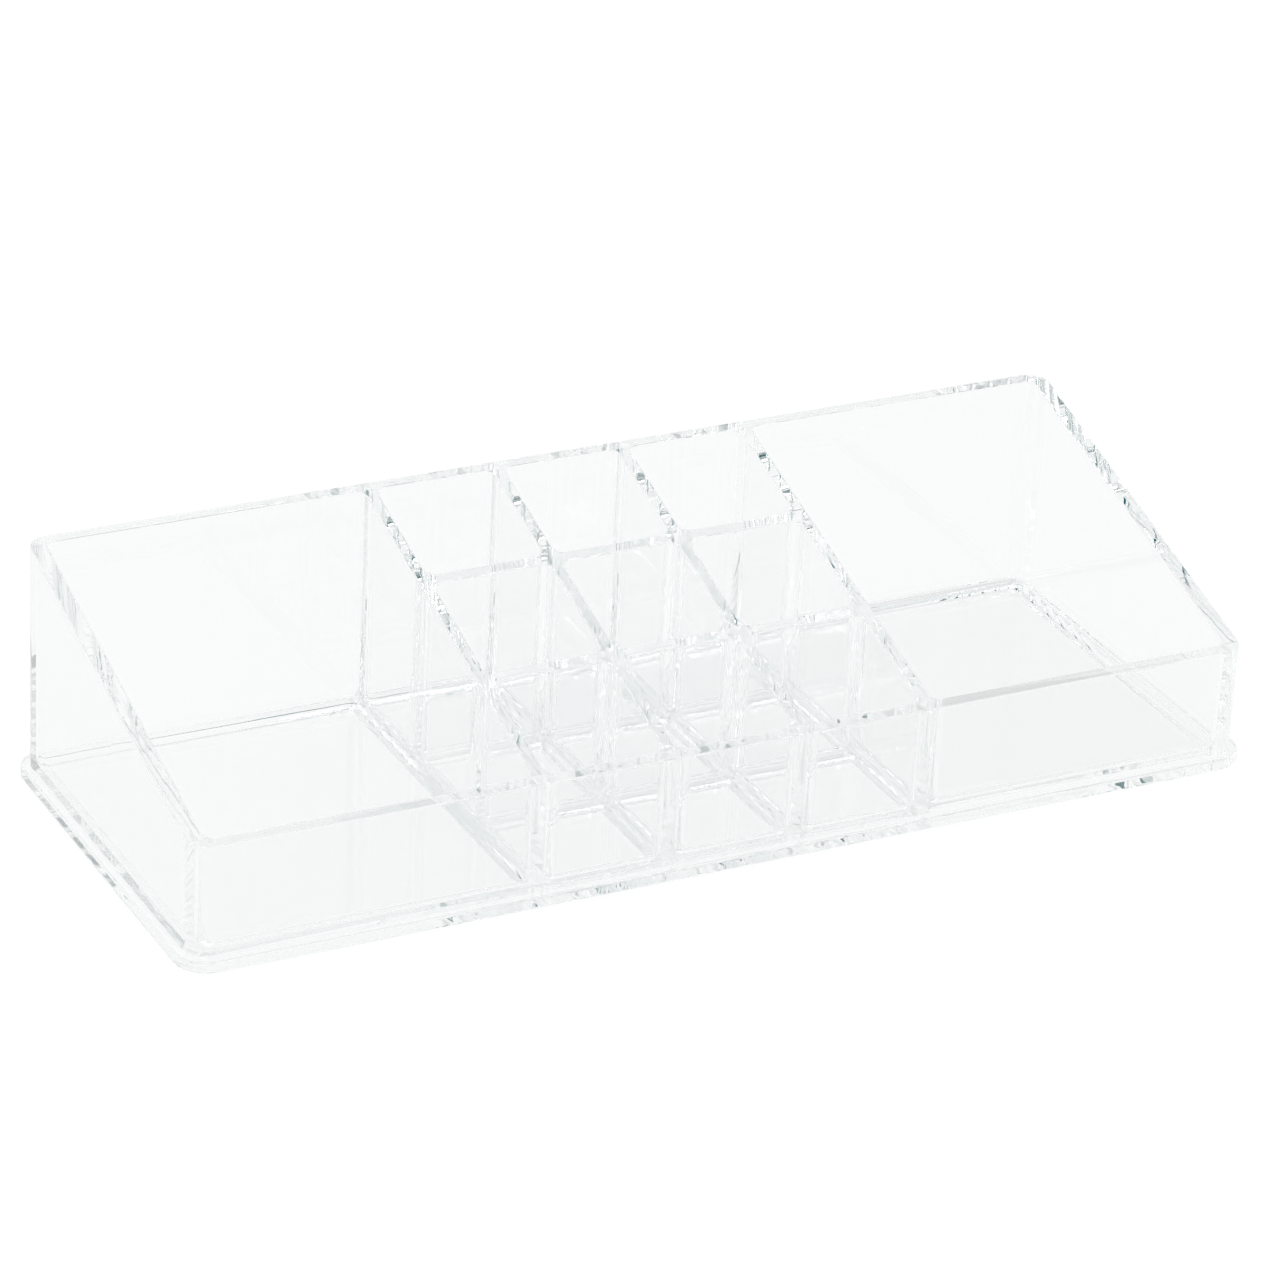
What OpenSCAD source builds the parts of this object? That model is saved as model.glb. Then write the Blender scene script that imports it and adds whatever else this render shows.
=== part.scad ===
// Clear vanity organizer: nine lipstick pockets between two open side compartments.
// Panels of clear plastic stand on a base plate and are bonded where they meet.
// X runs to the right, Y to the back and Z up; the origin is under the middle of the base.

/* [Overall] */
// Width over the outer faces of the side walls
tray_w = 236; // [200:1:300]
// Depth over the outer faces of the front and back walls
tray_d = 90; // [76:1:120]
// Height of the back wall's top edge above the table
back_h = 52; // [42:0.5:70]
// Height of the front wall's top edge above the table
front_h = 26.5; // [18:0.5:38]

/* [Base] */
// Thickness of the base plate
base_t = 2.6; // [2:0.1:4]
// How far the base plate stands out past the walls
lip = 2; // [1:0.1:4]

/* [Panels] */
// Thickness of the four outer walls
wall_t = 3.6; // [2.6:0.1:5]
// Outer radius of the tray's upright corners
corner_r = 5; // [3.6:0.1:8]
// Thickness of the partitions and of the cross dividers
rib_t = 2.6; // [2:0.1:4]
// Radius of the coves in every compartment, up its corners and round its floor
cove_r = 2.4; // [1.2:0.1:3.6]

/* [Pockets] */
// Clear width of one lipstick pocket
pocket_w = 26.4; // [22:0.1:30]
// Clearance on each side of a cross divider in its half-lap slot
lap_gap = 0.05; // [0.02:0.01:0.15]

/* [Hidden] */
$fn = 48;

// Overrun of every cutting shape past the face that it cuts
over = 1;
// Pocket columns and rows
columns = 3;
rows = 3;
// Inner faces of the outer walls, measured from the middle
inner_x = tray_w / 2 - wall_t;
inner_y = tray_d / 2 - wall_t;
// Clear depth of one pocket, between the front and back walls and two cross dividers
pocket_d = (2 * inner_y - (rows - 1) * rib_t) / rows;
// Distances between the middles of neighbouring partitions and of neighbouring dividers
pitch_x = pocket_w + rib_t;
pitch_y = pocket_d + rib_t;
// Outer face of the outermost partitions, and the clear width of a side compartment
rack_x = (columns * pitch_x + rib_t) / 2;
side_w = inner_x - rack_x;
// Width of the strip that a panel's cove takes beside its face
flank = rib_t / 2 + cove_r;

// Middle of partition i, counted from the left, and of cross divider j, counted from the front
function partition_x(i) = (i - columns / 2) * pitch_x;
function divider_y(j) = (j - rows / 2) * pitch_y;
// Height of the sloping top edges at depth y
function rim_z(y) = front_h + (back_h - front_h) * (y + inner_y) / (2 * inner_y);
// Height at which a cross divider sits on the inner partitions: half way up the panel
function lap_z(j) = (base_t + rim_z(divider_y(j))) / 2;

// Rounded rectangle about the origin
module round_rect(w, d, r) {
    square([w - 2 * r, d], center = true);
    square([w, d - 2 * r], center = true);
    for (x = [-1, 1], y = [-1, 1])
        translate([x * (w / 2 - r), y * (d / 2 - r)])
            circle(r);
}

// Side view of everything above the base plate: level over the front and back walls, sloping between them
module side_view() {
    polygon([
        [-tray_d / 2, base_t],
        [tray_d / 2, base_t],
        [tray_d / 2, back_h],
        [inner_y, back_h],
        [-inner_y, front_h],
        [-tray_d / 2, front_h]
    ]);
}

// Block above the base plate that every panel is taken from
module blank() {
    intersection() {
        rotate([90, 0, 90])
            linear_extrude(tray_w, center = true)
                side_view();
        linear_extrude(back_h + over)
            round_rect(tray_w, tray_d, corner_r);
    }
}

// Section of a compartment's clear space with coves along its lower edges
module cove_section(w, h) {
    translate([-w / 2, cove_r])
        square([w, h - cove_r]);
    translate([cove_r - w / 2, 0])
        square([w - 2 * cove_r, cove_r]);
    for (x = [-1, 1])
        translate([x * (w / 2 - cove_r), cove_r])
            circle(cove_r);
}

// Clear space of one compartment, w by d about the origin, from the base plate upwards
module cell(w, d) {
    h = back_h - base_t + over;
    translate([0, 0, base_t]) {
        rotate([90, 0, 90])
            linear_extrude(w - 2 * cove_r, center = true)
                cove_section(d, h);
        rotate([90, 0, 0])
            linear_extrude(d - 2 * cove_r, center = true)
                cove_section(w, h);
        for (x = [-1, 1], y = [-1, 1])
            translate([x * (w / 2 - cove_r), y * (d / 2 - cove_r), cove_r]) {
                sphere(cove_r);
                cylinder(r = cove_r, h = h - cove_r);
            }
    }
}

// Side compartment, on the left (side = -1) or on the right (side = 1)
module side_cell(side) {
    translate([side * (rack_x + side_w / 2), 0])
        cell(side_w, 2 * inner_y);
}

// Pocket in column i and row j, both counted from the front left
module pocket(i, j) {
    translate([(partition_x(i) + partition_x(i + 1)) / 2, (divider_y(j) + divider_y(j + 1)) / 2])
        cell(pocket_w, pocket_d);
}

// Plan of cross divider j: its strip, the coves beside it and its flared ends, between the partitions
module divider_plan(j) {
    for (i = [0 : columns - 1])
        translate([partition_x(i) + rib_t / 2, divider_y(j) - flank])
            square([pocket_w, 2 * flank]);
}

// Plan of partition i with the coves beside it and its flared ends, less what the cross dividers take
module partition_plan(i) {
    difference() {
        translate([partition_x(i) - flank, -inner_y])
            square([2 * flank, 2 * inner_y]);
        for (j = [1 : rows - 1])
            divider_plan(j);
    }
}

// Plan of the back wall (y = 1) or front wall (y = -1): mitred at the corners, cut clear of the partitions
module long_wall_plan(y) {
    deep = wall_t + cove_r;
    difference() {
        polygon([
            [-tray_w / 2, y * tray_d / 2],
            [tray_w / 2, y * tray_d / 2],
            [tray_w / 2 - deep, y * (tray_d / 2 - deep)],
            [deep - tray_w / 2, y * (tray_d / 2 - deep)]
        ]);
        for (i = [0 : columns])
            partition_plan(i);
    }
}

// Plan of the left wall (x = -1) or right wall (x = 1), mitred at the corners
module side_wall_plan(x) {
    deep = wall_t + cove_r;
    polygon([
        [x * tray_w / 2, -tray_d / 2],
        [x * tray_w / 2, tray_d / 2],
        [x * (tray_w / 2 - deep), tray_d / 2 - deep],
        [x * (tray_w / 2 - deep), deep - tray_d / 2]
    ]);
}

// Part of the block that stands on the plan given as children
module panel_blank() {
    intersection() {
        blank();
        linear_extrude(back_h + over)
            children();
    }
}

// Bridge by which cross divider j laps over inner partition i, with a gap on each side of it
module lap(i, j, gap) {
    translate([partition_x(i) - flank, divider_y(j) - rib_t / 2 - gap, lap_z(j)])
        cube([2 * flank, rib_t + 2 * gap, back_h]);
}

// Back wall (y = 1) or front wall (y = -1)
module long_wall(y) {
    color("azure", 0.4)
        difference() {
            panel_blank()
                long_wall_plan(y);
            side_cell(-1);
            side_cell(1);
            for (i = [0 : columns - 1])
                pocket(i, y > 0 ? rows - 1 : 0);
        }
}

// Left wall (x = -1) or right wall (x = 1)
module side_wall(x) {
    color("azure", 0.4)
        difference() {
            panel_blank()
                side_wall_plan(x);
            side_cell(x);
        }
}

// Partition i, counted from the left
module partition(i) {
    color("azure", 0.4)
        difference() {
            panel_blank()
                partition_plan(i);
            if (i == 0)
                side_cell(-1);
            if (i == columns)
                side_cell(1);
            for (j = [0 : rows - 1]) {
                if (i > 0)
                    pocket(i - 1, j);
                if (i < columns)
                    pocket(i, j);
            }
            if (i > 0 && i < columns)
                for (j = [1 : rows - 1])
                    lap(i, j, lap_gap);
        }
}

// Cross divider j, counted from the front
module divider(j) {
    color("azure", 0.4) {
        difference() {
            panel_blank()
                divider_plan(j);
            for (i = [0 : columns - 1], k = [j - 1, j])
                pocket(i, k);
        }
        intersection() {
            blank();
            for (i = [1 : columns - 1])
                lap(i, j, 0);
        }
    }
}

// Floor plate with the foot lip
module base_plate() {
    color("azure", 0.4)
        linear_extrude(base_t)
            round_rect(tray_w + 2 * lip, tray_d + 2 * lip, corner_r + lip);
}

module back_wall() long_wall(1);
module front_wall() long_wall(-1);
module left_wall() side_wall(-1);
module right_wall() side_wall(1);
module outer_left_partition() partition(0);
module inner_left_partition() partition(1);
module inner_right_partition() partition(2);
module outer_right_partition() partition(3);
module front_divider() divider(1);
module rear_divider() divider(2);

base_plate();
back_wall();
front_wall();
left_wall();
right_wall();
outer_left_partition();
inner_left_partition();
inner_right_partition();
outer_right_partition();
front_divider();
rear_divider();
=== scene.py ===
"""Looks of a clear vanity organizer, built round its packed panels."""

import math

import bpy
import bmesh
from mathutils import Matrix, Vector
from mathutils.geometry import delaunay_2d_cdt

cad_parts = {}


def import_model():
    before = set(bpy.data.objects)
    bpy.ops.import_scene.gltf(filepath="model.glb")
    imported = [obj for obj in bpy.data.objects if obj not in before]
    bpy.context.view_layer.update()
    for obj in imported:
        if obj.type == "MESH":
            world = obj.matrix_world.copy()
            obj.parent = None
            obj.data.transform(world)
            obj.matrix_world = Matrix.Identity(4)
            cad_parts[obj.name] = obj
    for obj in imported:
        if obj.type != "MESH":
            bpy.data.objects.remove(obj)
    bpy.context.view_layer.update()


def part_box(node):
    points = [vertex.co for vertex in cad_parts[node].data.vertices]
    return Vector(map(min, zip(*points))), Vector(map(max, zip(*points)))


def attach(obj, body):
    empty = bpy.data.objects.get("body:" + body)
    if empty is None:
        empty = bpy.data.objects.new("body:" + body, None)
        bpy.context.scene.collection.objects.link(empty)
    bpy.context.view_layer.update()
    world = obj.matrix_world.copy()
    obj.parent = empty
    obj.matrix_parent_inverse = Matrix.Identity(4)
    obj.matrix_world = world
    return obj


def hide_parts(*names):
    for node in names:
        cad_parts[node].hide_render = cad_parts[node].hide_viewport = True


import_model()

# Sizes in metres, as in the panels' own source
MM = 0.001
WALL_T = 3.6 * MM
RIB_T = 2.6 * MM
COVE_R = 2.4 * MM
CORNER_R = 5.0 * MM
POCKET_W = 26.4 * MM
COLUMNS, ROWS = 3, 3
# Small roundings that moulding leaves along the rims and the foot lip
RIM_R = 0.35 * MM
LIP_R = 0.5 * MM
# Facets round a quarter turn of each radius
COVE_STEPS = 24
CORNER_STEPS = 32
RIM_STEPS = 5
# How far cutting shapes run past what they cut
OVERRUN = 2.0 * MM
# Lift that keeps two cutting shapes from meeting on one face
LIFT = 0.002 * MM
# Points closer than this are one point
WELD = 1e-7
# Facets that turn less than the first angle are one flat face, and a facet of a cove or a rounded corner leans
# less than the second one from the smooth surface
FLAT_ANGLE = math.radians(0.5)
FACET_ANGLE = math.radians(6)

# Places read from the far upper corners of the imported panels' boxes
base, side, back, front = (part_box(name)[1] for name in ("base_plate", "right_wall", "back_wall", "front_wall"))
BASE_T = base.z
OUTER_X, OUTER_Y = side.x, back.y
INNER_X, INNER_Y = OUTER_X - WALL_T, OUTER_Y - WALL_T
BACK_H, FRONT_H = back.z, front.z
LIP = base.x - OUTER_X
POCKET_D = (2 * INNER_Y - (ROWS - 1) * RIB_T) / ROWS
PITCH_X, PITCH_Y = POCKET_W + RIB_T, POCKET_D + RIB_T
RACK_X = (COLUMNS * PITCH_X + RIB_T) / 2
SIDE_W = INNER_X - RACK_X
FLANK = RIB_T / 2 + COVE_R


def partition_x(i):
    """Middle of partition i, counted from the left."""
    return (i - COLUMNS / 2) * PITCH_X


def divider_y(j):
    """Middle of cross divider j, counted from the front."""
    return (j - ROWS / 2) * PITCH_Y


def rim_z(y):
    """Height of the top edges at depth y."""
    return FRONT_H + (BACK_H - FRONT_H) * (y + INNER_Y) / (2 * INNER_Y)


def lap_z(j):
    """Height at which cross divider j sits on the inner partitions."""
    return (BASE_T + rim_z(divider_y(j))) / 2


def link(ob):
    bpy.context.scene.collection.objects.link(ob)
    return ob


def mesh_object(name, bm, materials):
    """A new object with the mesh of bm, which is freed."""
    mesh = bpy.data.meshes.new(name)
    bm.to_mesh(mesh)
    bm.free()
    for m in materials:
        mesh.materials.append(m)
    return link(bpy.data.objects.new(name, mesh))


def applied(ob, name):
    """A plain object with the mesh of ob after its modifiers. ob is removed."""
    graph = bpy.context.evaluated_depsgraph_get()
    mesh = bpy.data.meshes.new_from_object(ob.evaluated_get(graph))
    mesh.name = name
    bpy.data.objects.remove(ob)
    return link(bpy.data.objects.new(name, mesh))


def combine(ob, tool, operation, name):
    """ob after a boolean with tool, as a new object. ob is removed and tool stays."""
    cut = ob.modifiers.new(operation, "BOOLEAN")
    cut.solver, cut.operation, cut.object = "MANIFOLD", operation, tool
    return applied(ob, name)


def copy_of(ob, name):
    return link(bpy.data.objects.new(name, ob.data.copy()))


# Node trees

class Rule:
    """A Geometry Nodes tree that is built one node at a time."""

    def __init__(self, name):
        self.tree = bpy.data.node_groups.new(name, "GeometryNodeTree")
        self.sockets = {}
        self.made = self.tree.nodes.new("NodeGroupInput")

    def size(self, name, kind="Float"):
        """A named input of the tree."""
        socket = self.tree.interface.new_socket(name, in_out="INPUT", socket_type="NodeSocket" + kind)
        self.sockets[name] = socket.identifier
        return self.made.outputs[name]

    def node(self, kind, inputs=(), **settings):
        made = self.tree.nodes.new(kind)
        for key, value in settings.items():
            setattr(made, key, value)
        for key, value in dict(inputs).items():
            self.feed(made.inputs[key], value)
        return made

    def feed(self, socket, value):
        if isinstance(value, bpy.types.NodeSocket):
            self.tree.links.new(value, socket)
        else:
            socket.default_value = value

    def maths(self, operation, *values):
        inputs = dict(enumerate(values))
        return self.node("ShaderNodeMath", inputs, operation=operation).outputs[0]

    def finish(self, geometry):
        self.tree.interface.new_socket("Geometry", in_out="OUTPUT", socket_type="NodeSocketGeometry")
        out = self.tree.nodes.new("NodeGroupOutput")
        self.tree.links.new(geometry, out.inputs[0])

    def make(self, name, values):
        """The tree's mesh as a plain object, for these values of its inputs."""
        ob = link(bpy.data.objects.new(name, bpy.data.meshes.new(name)))
        mod = ob.modifiers.new(self.tree.name, "NODES")
        mod.node_group = self.tree
        for key, value in values.items():
            mod[self.sockets[key]] = value
        return applied(ob, name)


def compartment_rule():
    """The clear space of every compartment: a grid of pockets and one large space on either side. A ring of
    points is carried up from the floor, out along the cove, up the walls and over the rounded rim."""
    rule = Rule("Compartments")
    columns, rows = rule.size("Columns", "Int"), rule.size("Rows", "Int")
    pocket_w, pocket_d = rule.size("Pocket width"), rule.size("Pocket depth")
    pitch_x, pitch_y = rule.size("Pitch across"), rule.size("Pitch in depth")
    side_w, side_x = rule.size("Side width"), rule.size("Side place")
    inner_y, floor = rule.size("Half depth inside"), rule.size("Floor height")
    front_h, back_h = rule.size("Front height"), rule.size("Back height")
    cove, rim = rule.size("Cove radius"), rule.size("Rim radius")
    steps, rim_steps = rule.size("Cove steps", "Int"), rule.size("Rim steps", "Int")
    over, lift = rule.size("Overrun"), rule.size("Lift")
    material = rule.size("Material", "Material")
    m = rule.maths

    def vector(x, y=0.0, z=0.0):
        return rule.node("ShaderNodeCombineXYZ", {0: x, 1: y, 2: z}).outputs[0]

    def stored(mesh, name, value):
        """The mesh with a value kept at each of its points."""
        kept = {"Geometry": mesh, "Name": name, "Value": value}
        return rule.node("GeometryNodeStoreNamedAttribute", kept, data_type="FLOAT_VECTOR",
                         domain="POINT").outputs[0]

    position = rule.node("GeometryNodeInputPosition").outputs[0]
    full_y = m("MULTIPLY", inner_y, 2)
    span_x = m("MULTIPLY", pitch_x, m("SUBTRACT", columns, 1))
    span_y = m("MULTIPLY", pitch_y, m("SUBTRACT", rows, 1))
    grid = rule.node("GeometryNodeMeshGrid", {
        "Size X": span_x, "Size Y": span_y, "Vertices X": columns, "Vertices Y": rows}).outputs["Mesh"]
    ends = rule.node("GeometryNodeMeshLine", {
        "Count": 2, "Start Location": vector(m("MULTIPLY", side_x, -1)),
        "Offset": vector(m("MULTIPLY", side_x, 2))}).outputs["Mesh"]
    plan = rule.node("GeometryNodeJoinGeometry")
    for mesh, half_x, half_y in ((grid, m("MULTIPLY", pocket_w, 0.5), m("MULTIPLY", pocket_d, 0.5)),
                                 (ends, m("MULTIPLY", side_w, 0.5), inner_y)):
        rule.tree.links.new(stored(mesh, "half_size", vector(half_x, half_y)), plan.inputs[0])

    centre = stored(plan.outputs[0], "centre", position)
    per_corner = m("ADD", steps, 1)
    around = m("MULTIPLY", per_corner, 4)
    rings = m("ADD", m("ADD", steps, rim_steps), 2)
    tube = rule.node("GeometryNodeMeshCylinder", {
        "Vertices": around, "Side Segments": rings, "Radius": 1.0, "Depth": rings}, fill_type="NGON")
    placed = rule.node("GeometryNodeInstanceOnPoints", {
        "Points": centre, "Instance": stored(tube.outputs["Mesh"], "unit", position)})
    real = rule.node("GeometryNodeRealizeInstances", {0: placed.outputs[0]})

    def named(name):
        read = rule.node("GeometryNodeInputNamedAttribute", {"Name": name}, data_type="FLOAT_VECTOR")
        return rule.node("ShaderNodeSeparateXYZ", {0: read.outputs["Attribute"]}).outputs

    unit, middle, half = named("unit"), named("centre"), named("half_size")
    turn = m("DIVIDE", m("ARCTAN2", unit[1], unit[0]), 2 * math.pi)
    index = m("FLOORED_MODULO", m("ROUND", m("MULTIPLY", turn, around)), around)
    corner = m("FLOOR", m("DIVIDE", m("ADD", index, 0.5), per_corner))
    along = m("DIVIDE", m("SUBTRACT", index, m("MULTIPLY", corner, per_corner)), steps)
    quarter = math.pi / 2
    arc = m("MULTIPLY", m("ADD", corner, along), quarter)
    to_corner = m("MULTIPLY", m("ADD", corner, 0.5), quarter)
    ring = m("ROUND", m("ADD", unit[2], m("DIVIDE", rings, 2)))
    on_cove = m("MULTIPLY", m("MINIMUM", m("DIVIDE", ring, steps), 1), quarter)
    above = m("SUBTRACT", m("SUBTRACT", ring, steps), 1)
    on_rim = m("MULTIPLY", m("MINIMUM", m("MAXIMUM", m("DIVIDE", above, rim_steps), 0), 1), quarter)
    out_rim = m("MULTIPLY", rim, m("SUBTRACT", 1, m("COSINE", on_rim)))
    radius = m("ADD", m("MULTIPLY", cove, m("SINE", on_cove)), out_rim)

    def across(middle, half, side, wave):
        flat = m("MULTIPLY", m("SIGN", side), m("SUBTRACT", half, cove))
        return m("ADD", m("ADD", middle, flat), m("MULTIPLY", radius, m(wave, arc)))

    x = across(middle[0], half[0], m("COSINE", to_corner), "COSINE")
    y = across(middle[1], half[1], m("SINE", to_corner), "SINE")
    share = m("MINIMUM", m("MAXIMUM", m("DIVIDE", m("ADD", y, inner_y), full_y), 0), 1)
    slope = m("ADD", front_h, m("MULTIPLY", share, m("SUBTRACT", back_h, front_h)))
    low = m("ADD", floor, m("MULTIPLY", cove, m("SUBTRACT", 1, m("COSINE", on_cove))))
    high = m("ADD", m("SUBTRACT", slope, m("MULTIPLY", rim, m("SUBTRACT", 1, m("SINE", on_rim)))), lift)
    last = m("MULTIPLY", m("GREATER_THAN", above, m("ADD", rim_steps, 0.5)), over)
    upper = m("GREATER_THAN", above, -0.5)
    z = m("ADD", m("MULTIPLY", upper, m("ADD", high, last)), m("MULTIPLY", m("SUBTRACT", 1, upper), low))
    moved = rule.node("GeometryNodeSetPosition", {"Geometry": real.outputs[0], "Position": vector(x, y, z)})
    welded = rule.node("GeometryNodeMergeByDistance", {"Geometry": moved.outputs[0], "Distance": WELD})
    bare = welded
    for name in ("unit", "centre", "half_size"):
        bare = rule.node("GeometryNodeRemoveAttribute", {"Geometry": bare.outputs[0], "Name": name})
    done = rule.node("GeometryNodeSetMaterial", {"Geometry": bare.outputs[0], "Material": material})
    rule.finish(done.outputs[0])
    return rule


def compartments(material):
    return compartment_rule().make("compartments", {
        "Columns": COLUMNS, "Rows": ROWS, "Pocket width": POCKET_W, "Pocket depth": POCKET_D,
        "Pitch across": PITCH_X, "Pitch in depth": PITCH_Y,
        "Side width": SIDE_W, "Side place": RACK_X + SIDE_W / 2, "Half depth inside": INNER_Y,
        "Floor height": BASE_T, "Front height": FRONT_H, "Back height": BACK_H,
        "Cove radius": COVE_R, "Rim radius": RIM_R, "Cove steps": COVE_STEPS, "Rim steps": RIM_STEPS,
        "Overrun": OVERRUN, "Lift": LIFT, "Material": material})


# Block that the compartments are taken out of

def round_outline(half_x, half_y, radius, steps):
    """Points of a rounded rectangle about the origin, anticlockwise."""
    points = []
    for corner, (sx, sy) in enumerate(((1, 1), (-1, 1), (-1, -1), (1, -1))):
        x, y = sx * (half_x - radius), sy * (half_y - radius)
        for k in range(steps + 1):
            a = math.radians(90 * (corner + k / steps))
            points.append((x + radius * math.cos(a), y + radius * math.sin(a)))
    return points


def prism(outline, low, high):
    """A bmesh prism on an anticlockwise outline."""
    bm = bmesh.new()
    rings = [[bm.verts.new((x, y, z)) for x, y in outline] for z in (low, high)]
    n = len(outline)
    for k in range(n):
        a, b = k, (k + 1) % n
        bm.faces.new((rings[0][a], rings[0][b], rings[1][b], rings[1][a]))
    bm.faces.new(list(reversed(rings[0])))
    bm.faces.new(rings[1])
    return bm


def block(materials):
    """Walls and ribs as one solid block with a stepped and sloping top, its outer rim rounded."""
    outline = round_outline(OUTER_X, OUTER_Y, CORNER_R, CORNER_STEPS)
    ob = mesh_object("block", prism(outline, BASE_T, BACK_H + OVERRUN), materials)
    past = OUTER_Y + OVERRUN
    side = [(-past, BASE_T - OVERRUN), (past, BASE_T - OVERRUN), (past, BACK_H), (INNER_Y, BACK_H),
            (-INNER_Y, FRONT_H), (-past, FRONT_H)]
    bm = prism(side, -OUTER_X - OVERRUN, OUTER_X + OVERRUN)
    for v in bm.verts:
        y, z, x = v.co
        v.co = (x, y, z)
    profile = mesh_object("side_view", bm, materials)
    ob = combine(ob, profile, "INTERSECT", "block")
    bpy.data.objects.remove(profile)
    bm = bmesh.new()
    bm.from_mesh(ob.data)
    bmesh.ops.dissolve_limit(bm, angle_limit=FLAT_ANGLE, verts=bm.verts, edges=bm.edges)
    rim = [e for e in bm.edges if len(e.link_faces) == 2
           and sorted(f.normal.z > 0.5 for f in e.link_faces) == [False, True]]
    bmesh.ops.bevel(bm, geom=rim, offset=RIM_R, segments=RIM_STEPS, profile=0.5, affect="EDGES",
                    offset_type="OFFSET", clamp_overlap=False)
    bm.to_mesh(ob.data)
    bm.free()
    return ob


def box_bmesh(low, high):
    x0, y0, z0 = low
    x1, y1, z1 = high
    return prism([(x0, y0), (x1, y0), (x1, y1), (x0, y1)], z0, z1)


def zone_box(name, low, high):
    return mesh_object(name, box_bmesh(low, high), [plastic, bond])


def bonded(ob):
    """Marks every face of a zone as a bonded joint."""
    for p in ob.data.polygons:
        p.material_index = 1
    return ob


def divider_zone(j):
    """Ground of cross divider j: a strip in each column, and a bridge over each inner partition."""
    y, low, high = divider_y(j), BASE_T - OVERRUN, BACK_H + OVERRUN
    zone = None
    for i in range(COLUMNS):
        strip = zone_box("strip", (partition_x(i) + RIB_T / 2, y - FLANK, low),
                         (partition_x(i + 1) - RIB_T / 2, y + FLANK, high))
        if zone is None:
            zone = strip
        else:
            zone = combine(zone, strip, "UNION", "zone")
            bpy.data.objects.remove(strip)
    for i in range(1, COLUMNS):
        bridge = zone_box("bridge", (partition_x(i) - FLANK, y - RIB_T / 2, lap_z(j)),
                          (partition_x(i) + FLANK, y + RIB_T / 2, high))
        zone = combine(zone, bridge, "UNION", "zone")
        bpy.data.objects.remove(bridge)
    return bonded(zone)


def partition_zone(i, taken):
    """Ground that partition i stands on, less what the cross dividers take."""
    x = partition_x(i)
    zone = zone_box("zone", (x - FLANK, -INNER_Y, BASE_T - OVERRUN), (x + FLANK, INNER_Y, BACK_H + OVERRUN))
    for other in taken:
        zone = combine(zone, other, "DIFFERENCE", "zone")
    return bonded(zone)


def wall_zone(corners, taken):
    """Ground of an outer wall, mitred at its ends, less what the partitions take."""
    zone = mesh_object("zone", prism(corners, BASE_T - OVERRUN, BACK_H + OVERRUN), [plastic, bond])
    for other in taken:
        zone = combine(zone, other, "DIFFERENCE", "zone")
    return bonded(zone)


def zones():
    """Each upright panel's ground, by the name of its CAD node."""
    deep = WALL_T + COVE_R
    far_x, far_y = OUTER_X + OVERRUN, OUTER_Y + OVERRUN
    near_x, near_y = OUTER_X - deep, OUTER_Y - deep
    dividers = [divider_zone(j) for j in range(1, ROWS)]
    whole = [partition_zone(i, []) for i in range(COLUMNS + 1)]
    made = {"front_divider": dividers[0], "rear_divider": dividers[1]}
    for i, name in enumerate(("outer_left", "inner_left", "inner_right", "outer_right")):
        made[name + "_partition"] = partition_zone(i, dividers)
    for side, long_name, short_name in ((1, "back_wall", "right_wall"), (-1, "front_wall", "left_wall")):
        long_wall = [(-near_x, near_y), (near_x, near_y), (far_x, far_y), (-far_x, far_y)]
        short_wall = [(near_x, -near_y), (far_x, -far_y), (far_x, far_y), (near_x, near_y)]
        made[long_name] = wall_zone([(side * x, side * y) for x, y in long_wall], whole)
        made[short_name] = wall_zone([(side * x, side * y) for x, y in short_wall], [])
    for ob in whole:
        bpy.data.objects.remove(ob)
    return made


def floors():
    """Middle and half size of every compartment's floor inside its coves, the pockets first."""
    made = []
    for i in range(COLUMNS):
        for j in range(ROWS):
            x, y = (partition_x(i) + partition_x(i + 1)) / 2, (divider_y(j) + divider_y(j + 1)) / 2
            made.append((x, y, POCKET_W / 2 - COVE_R, POCKET_D / 2 - COVE_R))
    for side in (-1, 1):
        made.append((side * (RACK_X + SIDE_W / 2), 0, SIDE_W / 2 - COVE_R, INNER_Y - COVE_R))
    return made


def true_normal(point, flat):
    """Normal of the smooth surface that a facet with normal flat stands for, at one of its corners."""
    x, y, z = point
    choices = []
    for fx, fy, half_x, half_y in FLOORS:
        out_x, out_y = x - max(fx - half_x, min(x, fx + half_x)), y - max(fy - half_y, min(y, fy + half_y))
        choices.append(-Vector((out_x, out_y, min(z - BASE_T - COVE_R, 0))))
    half_x, half_y = OUTER_X - CORNER_R, OUTER_Y - CORNER_R
    outer = Vector((x - max(-half_x, min(x, half_x)), y - max(-half_y, min(y, half_y)), 0))
    choices = [(abs(c.length - COVE_R), c) for c in choices] + [(abs(outer.length - CORNER_R), outer)]
    off, best = min(choices, key=lambda choice: choice[0])
    if off < 2 * LIFT and best.length > 0 and best.normalized().dot(flat) > math.cos(FACET_ANGLE):
        return best.normalized()
    return flat


def smooth(ob):
    """Shades coves and rounded corners as smooth, and everything else as flat."""
    mesh = ob.data
    mesh.shade_smooth()
    normals = [None] * len(mesh.loops)
    for face in mesh.polygons:
        for k in face.loop_indices:
            normals[k] = true_normal(mesh.vertices[mesh.loops[k].vertex_index].co, face.normal)
    mesh.normals_split_custom_set(normals)


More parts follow.
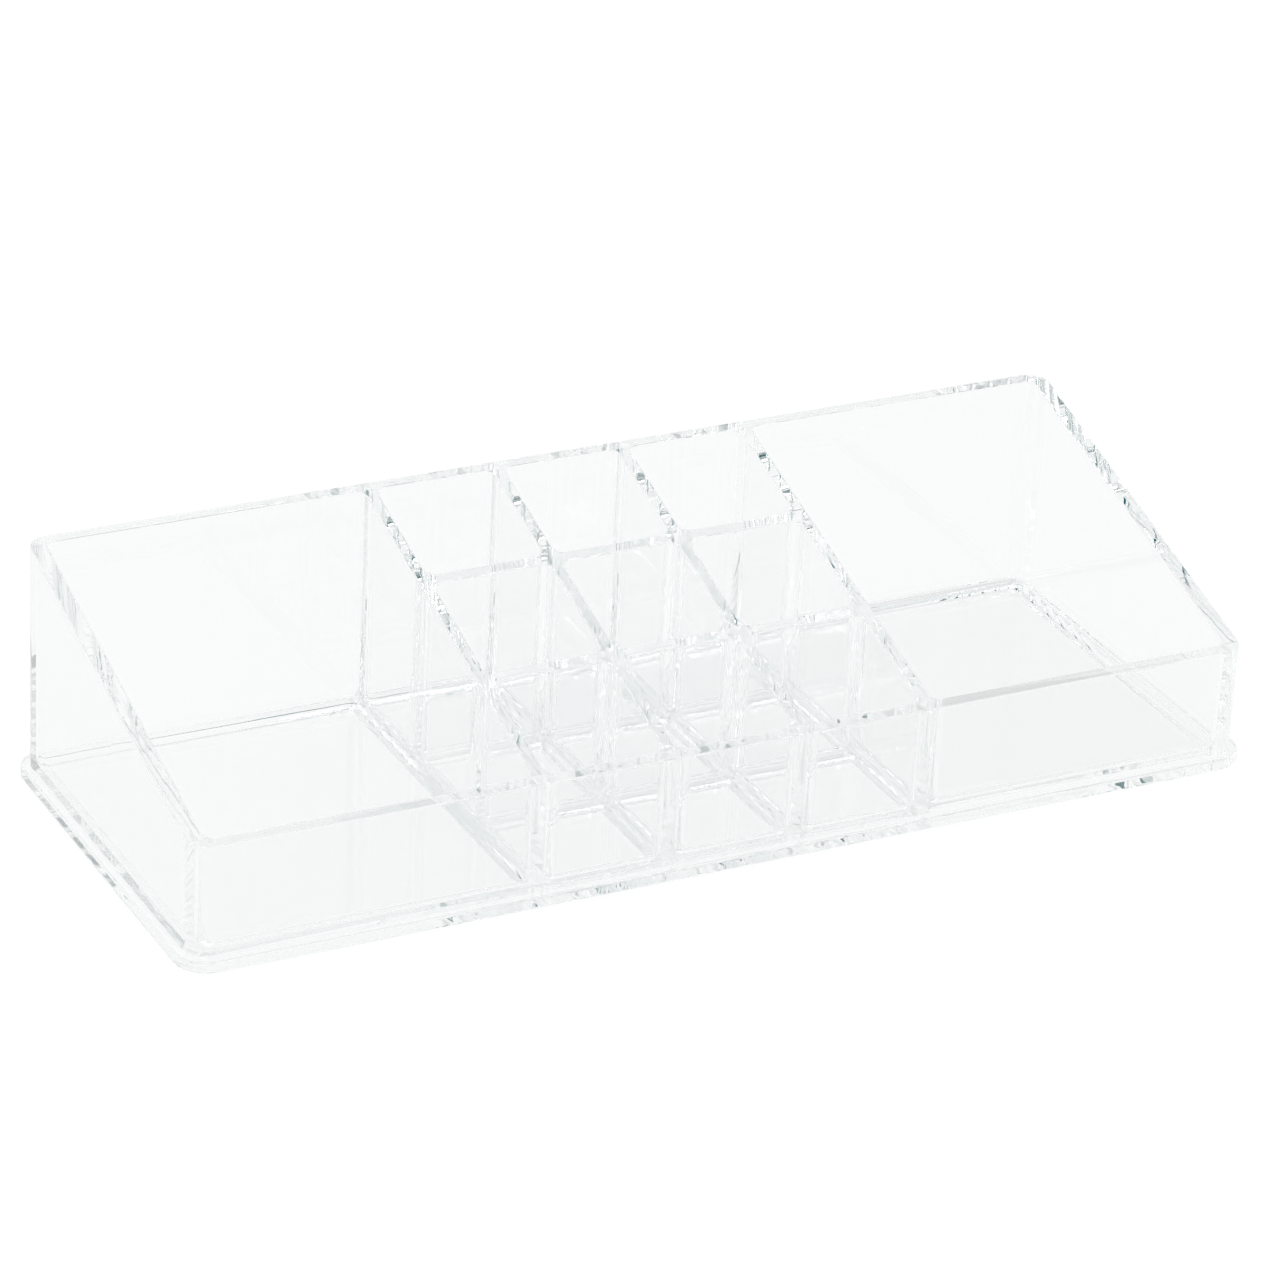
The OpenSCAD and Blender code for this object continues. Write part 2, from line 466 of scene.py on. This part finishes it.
def upright_panels():
    """Every panel above the base plate, cut from one clear body so that bonded faces meet exactly."""
    body = block([plastic, bond])
    hollow = compartments(plastic)
    body = combine(body, hollow, "DIFFERENCE", "body")
    bpy.data.objects.remove(hollow)
    for p in body.data.polygons:
        p.material_index = 1 if p.normal.z < -0.9 and p.center.z < BASE_T + LIFT else 0
    body.data.materials.clear()
    for finish in (plastic, bond):
        body.data.materials.append(finish)
    made = {}
    grounds = zones()
    for name, zone in grounds.items():
        made[name] = combine(copy_of(body, "part"), zone, "INTERSECT", "clear_" + name)
        smooth(made[name])
    for ob in [body, *grounds.values()]:
        bpy.data.objects.remove(ob)
    return made


def base_plate():
    """Floor plate with its rounded foot lip. Its top is bonded under the panels and clear elsewhere."""
    bm = bmesh.new()
    rings = []
    steps = RIM_STEPS
    for k in range(steps + 1):
        a = math.radians(90 * k / steps)
        rings.append((LIP_R * (1 - math.sin(a)), LIP_R * (1 - math.cos(a))))
    levels = rings + [(inset, BASE_T - z) for inset, z in reversed(rings)]
    loops = []
    for inset, z in levels:
        out = LIP - inset
        outline = round_outline(OUTER_X + out, OUTER_Y + out, CORNER_R + out, CORNER_STEPS)
        loops.append([bm.verts.new((x, y, z)) for x, y in outline])
    n = len(loops[0])
    for low, high in zip(loops, loops[1:]):
        for k in range(n):
            a, b = k, (k + 1) % n
            bm.faces.new((low[a], low[b], high[b], high[a]))
    bm.faces.new(list(reversed(loops[0])))
    top_outline = [tuple(v.co[:2]) for v in loops[-1]]
    wall_outline = round_outline(OUTER_X, OUTER_Y, CORNER_R, CORNER_STEPS)
    points, edges = [], []

    def add_loop(outline):
        first = len(points)
        points.extend(Vector(p) for p in outline)
        count = len(outline)
        edges.extend((first + k, first + (k + 1) % count) for k in range(count))

    add_loop(top_outline)
    add_loop(wall_outline)
    for x, y, half_x, half_y in FLOORS:
        add_loop([(x + sx * half_x, y + sy * half_y) for sx, sy in ((-1, -1), (1, -1), (1, 1), (-1, 1))])
    flat, _, faces, origin, *_ = delaunay_2d_cdt(points, edges, [], 1, WELD)
    verts = [loops[-1][source[0]] if source and source[0] < n else bm.verts.new((p[0], p[1], BASE_T))
             for p, source in zip(flat, origin)]
    for face in faces:
        made = bm.faces.new([verts[k] for k in face])
        made.normal_update()
        if made.normal.z < 0:
            made.normal_flip()
        x, y = made.calc_center_median()[:2]
        on_floor = any(abs(x - fx) < hx and abs(y - fy) < hy for fx, fy, hx, hy in FLOORS)
        made.material_index = 0 if on_floor or not inside_outline(x, y) else 1
    return mesh_object("clear_base_plate", bm, [plastic, bond])


def inside_outline(x, y):
    """True if a point of the plan lies within the walls' outer faces."""
    dx, dy = max(abs(x) - (OUTER_X - CORNER_R), 0), max(abs(y) - (OUTER_Y - CORNER_R), 0)
    return math.hypot(dx, dy) < CORNER_R


# Materials

# Waves to the metre that moulding leaves, and wiping marks to the metre along and across the wiping
WAVES = 130
WIPES = (50, 260, 180)
# Turns inside the plastic that are followed before light leaks out of it
TURNS_INSIDE = 12


class Finish:
    """A shader tree that is built one node at a time. A node's inputs are given by name or number."""

    def __init__(self, owner):
        owner.use_nodes = True
        self.tree = owner.node_tree
        self.tree.nodes.clear()

    def node(self, kind, inputs=(), **settings):
        made = self.tree.nodes.new("ShaderNode" + kind)
        for key, value in settings.items():
            setattr(made, key, value)
        for key, value in dict(inputs).items():
            if isinstance(value, bpy.types.NodeSocket):
                self.tree.links.new(value, made.inputs[key])
            else:
                made.inputs[key].default_value = value
        return made

    def maths(self, operation, *values):
        return self.node("Math", dict(enumerate(values)), operation=operation).outputs[0]

    def band(self, value, low, high, start=0.0, end=1.0):
        """Goes smoothly from start to end while value goes from low to high."""
        return self.node("MapRange", {0: value, 1: low, 2: high, 3: start, 4: end},
                         interpolation_type="SMOOTHSTEP").outputs[0]

    def between(self, value, low, high, soft=0.01):
        """1 where value lies between low and high, and 0 elsewhere, with soft ends."""
        return self.maths("MULTIPLY", self.band(value, low - soft, low + soft),
                          self.band(value, high + soft, high - soft))

    def noise(self, place, scale):
        """Noise of two octaves from 0 to 1."""
        return self.node("TexNoise", {"Vector": place, "Scale": scale, "Detail": 1.0}).outputs[0]

    def blend(self, factor, first, second):
        """A mix of two colours, or of a colour and a socket."""
        mix = self.node("Mix", data_type="RGBA")
        for socket, value in zip((mix.inputs[0], mix.inputs[6], mix.inputs[7]), (factor, first, second)):
            if isinstance(value, bpy.types.NodeSocket):
                self.tree.links.new(value, socket)
            else:
                socket.default_value = value
        return mix.outputs[2]

    def surface(self, shader, kind="OutputMaterial"):
        self.tree.links.new(shader, self.node(kind).inputs["Surface"])


def clear_plastic():
    """Polished clear plastic with the slight waves of moulding and faint wiping marks."""
    mat = bpy.data.materials.new("polished_clear_plastic")
    f = Finish(mat)
    place = f.node("TexCoord").outputs["Object"]
    bump = f.node("Bump", {"Strength": 0.025, "Distance": 0.001, "Height": f.noise(place, WAVES)})
    wiped = f.node("Mapping", {"Vector": place, "Rotation": (0.2, 0.1, 0.5), "Scale": WIPES})
    rough = f.band(f.noise(wiped.outputs[0], 1.0), 0.35, 0.75, 0.0, 0.02)
    glass = f.node("BsdfPrincipled", {
        "Base Color": (0.978, 0.982, 0.982, 1), "Transmission Weight": 1.0, "IOR": 1.49,
        "Roughness": rough, "Normal": bump.outputs[0]})
    let_through = f.node("BsdfTransparent", {"Color": (0.97, 0.975, 0.975, 1)})
    path = f.node("LightPath").outputs
    # Trapped light leaks out after its last turn, as at real joints and scratches
    spent = f.maths("GREATER_THAN", path["Ray Depth"], TURNS_INSIDE + 0.5)
    straight = f.maths("MAXIMUM", f.maths("MAXIMUM", path["Is Shadow Ray"], path["Is Diffuse Ray"]), spent)
    f.surface(f.node("MixShader", {0: straight, 1: glass.outputs[0], 2: let_through.outputs[0]}).outputs[0])
    return mat


def bonded_joint():
    """Joint faces that the bond makes one with their neighbour, so that nothing shows there."""
    mat = bpy.data.materials.new("bonded_joint")
    f = Finish(mat)
    f.surface(f.node("BsdfTransparent").outputs[0])
    return mat


# Studio

# The tent: its walls' height over their distance from the object, half the width of the seam above them in the
# same measure, half the width of its poles, and the colour of the room outside
TENT_RISE = 1.2
SEAM_HALF = 0.05
POLE_HALF = 0.08
DARK_ROOM = (0.0, 0.1, 0.11, 1)
# Heights on the unit sphere where the tent's front left side is half covered by a flap, and where it is open
FLAP = (0.4, 0.51)
OPENING = (0.53, 0.93)
# Share of the floor that shows as plain white. The rest is lit, and keeps the object's shadow
WHITE_SHARE = 0.8
# Turns of light that the renderer follows, and the same through joints
TURNS, JOINT_TURNS = 20, 96


def camera():
    """Camera at the photograph's angle. Its place, turn and lens were fitted to the tray's straight edges."""
    azimuth, elevation, roll = math.radians(-28.018), math.radians(26.463), math.radians(-3.068)
    level = math.cos(elevation)
    back = Vector((math.sin(azimuth) * level, -math.cos(azimuth) * level, math.sin(elevation)))
    right = (-back).cross(Vector((0, 0, 1))).normalized()
    up = back.cross(right)
    x = math.cos(roll) * right - math.sin(roll) * up
    y = math.sin(roll) * right + math.cos(roll) * up
    data = bpy.data.cameras.new("camera")
    data.sensor_width = 36
    data.lens = 156.23
    data.clip_start, data.clip_end = 0.05, 50
    ob = link(bpy.data.objects.new("camera", data))
    place = Matrix((x, y, back)).transposed().to_4x4()
    place.translation = Vector((-476.11, -890.82, 532.71)) * MM
    ob.matrix_world = place
    bpy.context.scene.camera = ob


def floor():
    """Plain floor that shows as white and keeps a share of the object's shadow. The plastic mirrors and bends
    it a little darker than the camera sees it."""
    bm = bmesh.new()
    bmesh.ops.create_grid(bm, x_segments=1, y_segments=1, size=4)
    mat = bpy.data.materials.new("floor")
    f = Finish(mat)
    matt = f.node("BsdfDiffuse", {"Color": (0.95, 0.95, 0.95, 1)})
    path = f.node("LightPath").outputs
    in_plastic = 0.96
    strength = f.maths("MULTIPLY_ADD", path["Is Camera Ray"], 1 - in_plastic, in_plastic)
    white = f.node("Emission", {"Color": (1, 1, 1, 1), "Strength": strength})
    seen = f.maths("MAXIMUM", f.maths("MAXIMUM", path["Is Camera Ray"], path["Is Glossy Ray"]),
                   path["Is Transmission Ray"])
    share = f.maths("MULTIPLY", seen, WHITE_SHARE)
    f.surface(f.node("MixShader", {0: share, 1: matt.outputs[0], 2: white.outputs[0]}).outputs[0])
    ob = mesh_object("floor", bm, [mat])
    ob.data.transform(Matrix.Translation((0, 0, -0.2 * MM)))


def tent_cloth(f, x, y, z, on_walls, at_pole):
    """White cloth, a little grey at the back right and low down on the right, and greyer over its poles."""
    m = f.maths
    back_right = m("MULTIPLY", f.band(x, 0.28, 0.5, 0.0, 0.22), f.band(y, 0.3, 0.6))
    back_right = m("MULTIPLY", back_right, f.band(z, 0.2, 0.36))
    right = m("MULTIPLY", f.band(x, 0.6, 0.75, 0.0, 0.4), f.band(y, 0.1, 0.0))
    right = m("MULTIPLY", right, f.between(z, 0.2, 0.38, 0.02))
    grey = m("MULTIPLY", m("MAXIMUM", back_right, right), on_walls)
    pole = m("MULTIPLY", m("MULTIPLY", at_pole, on_walls), f.band(z, 0.1, 0.12))
    level = m("MULTIPLY", m("SUBTRACT", 1.0, grey), m("MULTIPLY_ADD", pole, -0.5, 1.0))
    red, green, blue = (m("MULTIPLY", level, share) for share in (0.992, 0.996, 0.998))
    return f.node("CombineColor", {0: red, 1: green, 2: blue}).outputs[0]


def tent_gaps(f, z, rise, on_roof, off_ridge, to_front_left):
    """Where the dark room shows: at the seam round the roof, faintly at its ridges, and in the open front left
    side, which a thin flap half covers low down."""
    m = f.maths
    seam = m("MULTIPLY", f.between(rise, TENT_RISE - SEAM_HALF, TENT_RISE + SEAM_HALF), 0.85)
    ridges = m("MULTIPLY", m("MULTIPLY", f.band(off_ridge, 0.02, 0.015), on_roof), 0.12)
    side = f.band(to_front_left, 0.98, 1.0)
    opening = m("ADD", f.between(z, *OPENING), m("MULTIPLY", f.between(z, *FLAP), 0.45))
    return m("MAXIMUM", m("MAXIMUM", seam, ridges), m("MULTIPLY", side, opening))


def world():
    """A white cube tent in a dark room, its corners to the front, back and sides. The camera sees white."""
    made = bpy.data.worlds.new("tent")
    bpy.context.scene.world = made
    f = Finish(made)
    m = f.maths
    x, y, z = f.node("SeparateXYZ", {0: f.node("TexCoord").outputs["Generated"]}).outputs
    half = math.sqrt(0.5)
    back_right, back_left = m("MULTIPLY", m("ADD", x, y), half), m("MULTIPLY", m("SUBTRACT", y, x), half)
    one, other = m("ABSOLUTE", back_right), m("ABSOLUTE", back_left)
    near, far = m("MINIMUM", one, other), m("MAXIMUM", one, other)
    rise = m("DIVIDE", z, far)
    on_roof = f.band(rise, TENT_RISE - 0.02, TENT_RISE + 0.02)
    on_walls = m("SUBTRACT", 1.0, on_roof)
    at_pole = f.between(m("DIVIDE", m("SUBTRACT", one, other), far), -POLE_HALF, POLE_HALF)
    cloth = tent_cloth(f, x, y, z, on_walls, at_pole)
    to_front_left = m("DIVIDE", m("MULTIPLY", back_right, -1), far)
    gaps = tent_gaps(f, z, rise, on_roof, m("DIVIDE", near, z), to_front_left)
    tent = f.node("Background", {"Color": f.blend(gaps, cloth, DARK_ROOM)})
    white = f.node("Background", {"Color": (1, 1, 1, 1)})
    path = f.node("LightPath").outputs
    mix = f.node("MixShader", {0: path["Is Camera Ray"], 1: tent.outputs[0], 2: white.outputs[0]})
    f.surface(mix.outputs[0], "OutputWorld")


def lamp(name, place, width, strength):
    """A far soft light. It is as wide as width degrees and shines from the side that place is on."""
    data = bpy.data.lights.new(name, "SUN")
    data.energy, data.angle = strength, math.radians(width)
    ob = link(bpy.data.objects.new(name, data))
    ob.location = place
    ob.rotation_euler = Vector(place).to_track_quat("Z", "Y").to_euler()


FLOORS = floors()
plastic = clear_plastic()
bond = bonded_joint()
pieces = upright_panels()
pieces["base_plate"] = base_plate()
for node, piece in pieces.items():
    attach(piece, "root")
    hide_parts(node)

camera()
floor()
world()
lamp("key", (-0.5, -0.3, 1.6), 24, 1.1)

bpy.context.scene.view_settings.view_transform = "Standard"
# Light runs on inside clear plastic, and ends as black where too few of its turns are followed
paths = bpy.context.scene.cycles
paths.max_bounces = paths.glossy_bounces = paths.transmission_bounces = TURNS
paths.transparent_max_bounces = JOINT_TURNS
